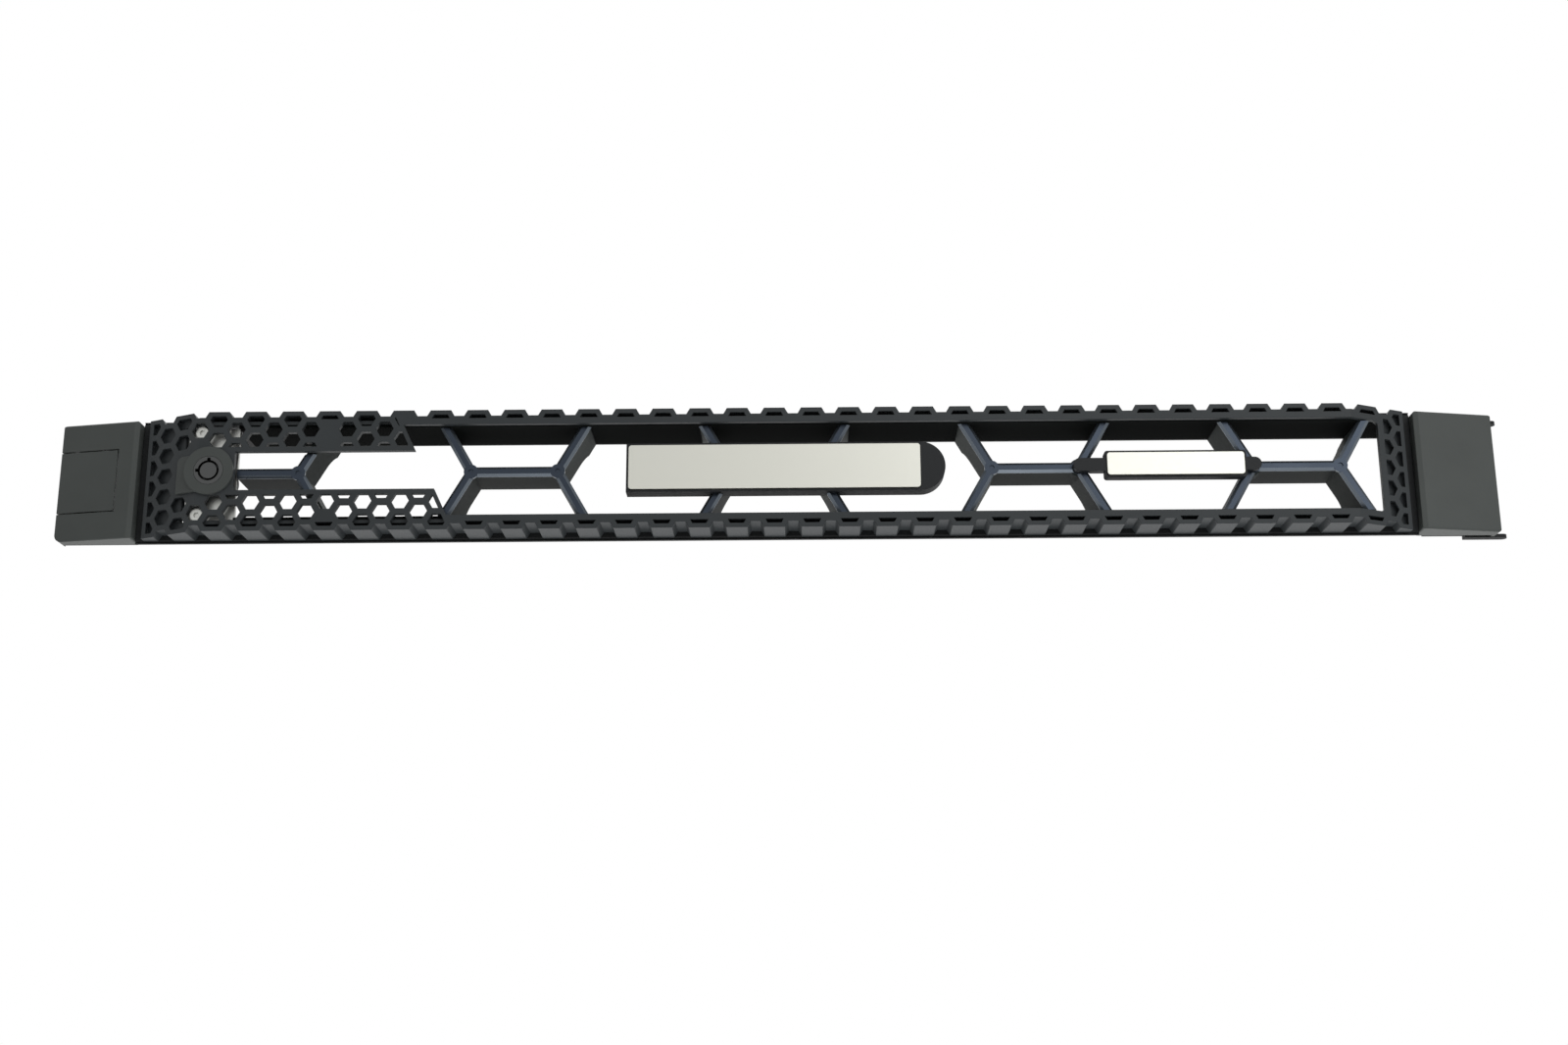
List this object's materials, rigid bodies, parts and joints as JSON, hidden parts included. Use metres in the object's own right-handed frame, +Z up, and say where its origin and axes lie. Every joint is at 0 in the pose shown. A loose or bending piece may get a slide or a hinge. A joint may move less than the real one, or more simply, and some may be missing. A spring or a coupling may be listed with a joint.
{
  "type": "server front bezel",
  "caption": "Rack server front bezel: hexagonal mesh fascia, honeycomb rib grille, swept end caps, press release latch, tubular key lock and blank badge plates.",
  "frame": {"origin": "middle of the rear seat, where the frame collar meets the chassis front, at mid height", "axes": "+X along the bezel towards the hinge end, the front faces -Y, +Z up"},
  "size_m": [0.4863, 0.0325, 0.0424],
  "materials": {
    "fascia_plastic": "satin moulded, fine texture",
    "frame_plastic": "satin moulded",
    "rib_plastic": "satin moulded",
    "cap_plastic": "satin paint over moulding",
    "button_plastic": "satin moulded",
    "carrier_plastic": "matt moulded",
    "trim_gloss": "metallised gloss",
    "badge_aluminium": "bare satin anodised",
    "screw_steel": "zinc plated",
    "pin_steel": "ground",
    "spring_steel": "rolled strip",
    "lock_dark_metal": "black plated zinc",
    "lock_metal": "turned, dark plated",
    "plated_steel": "zinc plated"
  },
  "bodies": {
    "shell": {"mesh_fascia": "fascia_plastic", "rear_frame": "frame_plastic", "rib_grille": "rib_plastic", "rib_trim_far_left": "trim_gloss", "rib_trim_left": "trim_gloss", "rib_trim_centre": "trim_gloss", "rib_trim_right": "trim_gloss", "rib_trim_far_right": "trim_gloss", "left_end_cap": "cap_plastic", "right_end_cap": "cap_plastic", "left_cap_screws": "screw_steel", "right_cap_screws": "screw_steel", "hinge_bracket": "frame_plastic", "pivot_pin": "pin_steel", "return_spring": "spring_steel", "lock_escutcheon": "button_plastic", "lock_barrel": "lock_dark_metal", "lock_nut": "plated_steel", "lock_bracket": "plated_steel", "bracket_screws": "screw_steel", "badge_carrier": "carrier_plastic", "badge_plate": "badge_aluminium", "small_badge_carrier": "carrier_plastic", "small_badge_plate": "badge_aluminium"},
    "release": {"release_lever": "button_plastic"},
    "lock": {"lock_plug": "lock_metal", "lock_cam": "plated_steel", "cam_screw": "screw_steel"}
  },
  "joints": [
    {"name": "release_press", "type": "hinge", "parent": "shell", "child": "release", "pos_m": [-0.2232, -0.011, 0], "axis": [0, 0, -1], "range_deg": [0, 8], "stiffness_Nm_per_rad": 0.12, "springref_deg": -14.32, "deforming": ["return_spring"]},
    {"name": "key_turn", "type": "hinge", "parent": "shell", "child": "lock", "pos_m": [-0.18655, -0.016, 0], "axis": [0, 1, 0], "range_deg": [0, 90]}
  ]
}
